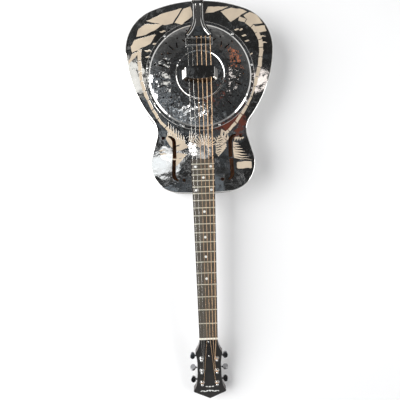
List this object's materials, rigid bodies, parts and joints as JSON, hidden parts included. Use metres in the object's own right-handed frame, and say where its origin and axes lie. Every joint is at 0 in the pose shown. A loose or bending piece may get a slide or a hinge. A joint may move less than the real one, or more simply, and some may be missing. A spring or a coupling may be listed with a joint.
{
  "type": "resonator guitar",
  "caption": "Metal-bodied resonator guitar with a round pierced cover plate over a spun cone, f-holes, hinged tailpiece and a wooden neck with geared tuners.",
  "frame": {"origin": "on the flat back of the body, under the middle of the bridge, with the guitar lying on its back", "axes": "+Z out of the top, +Y from the tail to the head, +X towards the treble side"},
  "size_m": [0.3604, 1.0097, 0.11],
  "materials": {
    "plated_steel": "nickel plated, mirror polished, with frosted etched leaves",
    "well_brass": "bare copper-coloured brass",
    "spun_aluminium": "spun, fine rings",
    "maple": "oiled",
    "neck_wood": "dark stain, satin lacquer",
    "rosewood": "oiled, open grain",
    "binding_plastic": "polished",
    "bone": "polished bone",
    "pearl": "pearl",
    "fret_wire": "polished nickel silver",
    "black_facing": "black lacquer",
    "screw_steel": "plated",
    "tuner_chrome": "plated",
    "dark_chrome": "dark plated",
    "gear_brass": "cut brass",
    "plain_string": "drawn wire",
    "wound_string": "bronze winding"
  },
  "bodies": {
    "guitar": {"body_top": "plated_steel", "body_sides": "plated_steel", "body_back": "plated_steel", "cone_well": "well_brass", "neck_stick": "maple", "stick_posts": "maple", "resonator_cone": "spun_aluminium", "biscuit": "maple", "saddle": "maple", "biscuit_screw": "screw_steel", "cover_plate": "plated_steel", "hand_rest": "plated_steel", "cover_screws": "screw_steel", "tailpiece": "plated_steel", "tailpiece_hanger": "plated_steel", "tailpiece_hinge_pin": "screw_steel", "tail_screws": "screw_steel", "end_button": "plated_steel", "neck": "neck_wood", "truss_rod": "screw_steel", "fretboard": "rosewood", "fretboard_binding": "binding_plastic", "frets": "fret_wire", "dot_inlays": "pearl", "nut": "bone", "headstock_veneer": "black_facing", "truss_rod_cover": "black_facing", "headstock_screws": "screw_steel", "tuner_plates": "tuner_chrome", "tuner_bushings": "tuner_chrome", "string_1": "plain_string", "string_2": "plain_string", "string_3": "wound_string", "string_4": "wound_string", "string_5": "wound_string", "string_6": "wound_string"},
    "worm_1": {"tuner_worm_1": "tuner_chrome", "tuner_button_1": "dark_chrome"},
    "post_1": {"tuner_gear_1": "gear_brass", "tuner_post_1": "tuner_chrome"},
    "worm_2": {"tuner_worm_2": "tuner_chrome", "tuner_button_2": "dark_chrome"},
    "post_2": {"tuner_gear_2": "gear_brass", "tuner_post_2": "tuner_chrome"},
    "worm_3": {"tuner_worm_3": "tuner_chrome", "tuner_button_3": "dark_chrome"},
    "post_3": {"tuner_gear_3": "gear_brass", "tuner_post_3": "tuner_chrome"},
    "worm_4": {"tuner_worm_4": "tuner_chrome", "tuner_button_4": "dark_chrome"},
    "post_4": {"tuner_gear_4": "gear_brass", "tuner_post_4": "tuner_chrome"},
    "worm_5": {"tuner_worm_5": "tuner_chrome", "tuner_button_5": "dark_chrome"},
    "post_5": {"tuner_gear_5": "gear_brass", "tuner_post_5": "tuner_chrome"},
    "worm_6": {"tuner_worm_6": "tuner_chrome", "tuner_button_6": "dark_chrome"},
    "post_6": {"tuner_gear_6": "gear_brass", "tuner_post_6": "tuner_chrome"}
  },
  "joints": [
    {"name": "worm_1_turn", "type": "hinge", "parent": "guitar", "child": "worm_1", "pos_m": [0.019, 0.69459, 0.03869], "axis": [1, 0, 0], "continuous": true},
    {"name": "post_1_turn", "type": "hinge", "parent": "guitar", "child": "post_1", "pos_m": [0.019, 0.6924, 0.05809], "axis": [0, 0.2672, 0.9636], "continuous": true},
    {"name": "worm_2_turn", "type": "hinge", "parent": "guitar", "child": "worm_2", "pos_m": [0.019, 0.72957, 0.02899], "axis": [1, 0, 0], "continuous": true},
    {"name": "post_2_turn", "type": "hinge", "parent": "guitar", "child": "post_2", "pos_m": [0.019, 0.72738, 0.04839], "axis": [0, 0.2672, 0.9636], "continuous": true},
    {"name": "worm_3_turn", "type": "hinge", "parent": "guitar", "child": "worm_3", "pos_m": [0.019, 0.76455, 0.01929], "axis": [1, 0, 0], "continuous": true},
    {"name": "post_3_turn", "type": "hinge", "parent": "guitar", "child": "post_3", "pos_m": [0.019, 0.76236, 0.03869], "axis": [0, 0.2672, 0.9636], "continuous": true},
    {"name": "worm_4_turn", "type": "hinge", "parent": "guitar", "child": "worm_4", "pos_m": [-0.019, 0.76455, 0.01929], "axis": [1, 0, 0], "continuous": true},
    {"name": "post_4_turn", "type": "hinge", "parent": "guitar", "child": "post_4", "pos_m": [-0.019, 0.76236, 0.03869], "axis": [0, 0.2672, 0.9636], "continuous": true},
    {"name": "worm_5_turn", "type": "hinge", "parent": "guitar", "child": "worm_5", "pos_m": [-0.019, 0.72957, 0.02899], "axis": [1, 0, 0], "continuous": true},
    {"name": "post_5_turn", "type": "hinge", "parent": "guitar", "child": "post_5", "pos_m": [-0.019, 0.72738, 0.04839], "axis": [0, 0.2672, 0.9636], "continuous": true},
    {"name": "worm_6_turn", "type": "hinge", "parent": "guitar", "child": "worm_6", "pos_m": [-0.019, 0.69459, 0.03869], "axis": [1, 0, 0], "continuous": true},
    {"name": "post_6_turn", "type": "hinge", "parent": "guitar", "child": "post_6", "pos_m": [-0.019, 0.6924, 0.05809], "axis": [0, 0.2672, 0.9636], "continuous": true}
  ],
  "couplings": [
    {"joint": "post_1_turn", "follows": "worm_1_turn", "ratio": 0.055556},
    {"joint": "post_2_turn", "follows": "worm_2_turn", "ratio": 0.055556},
    {"joint": "post_3_turn", "follows": "worm_3_turn", "ratio": 0.055556},
    {"joint": "post_4_turn", "follows": "worm_4_turn", "ratio": 0.055556},
    {"joint": "post_5_turn", "follows": "worm_5_turn", "ratio": 0.055556},
    {"joint": "post_6_turn", "follows": "worm_6_turn", "ratio": 0.055556}
  ]
}
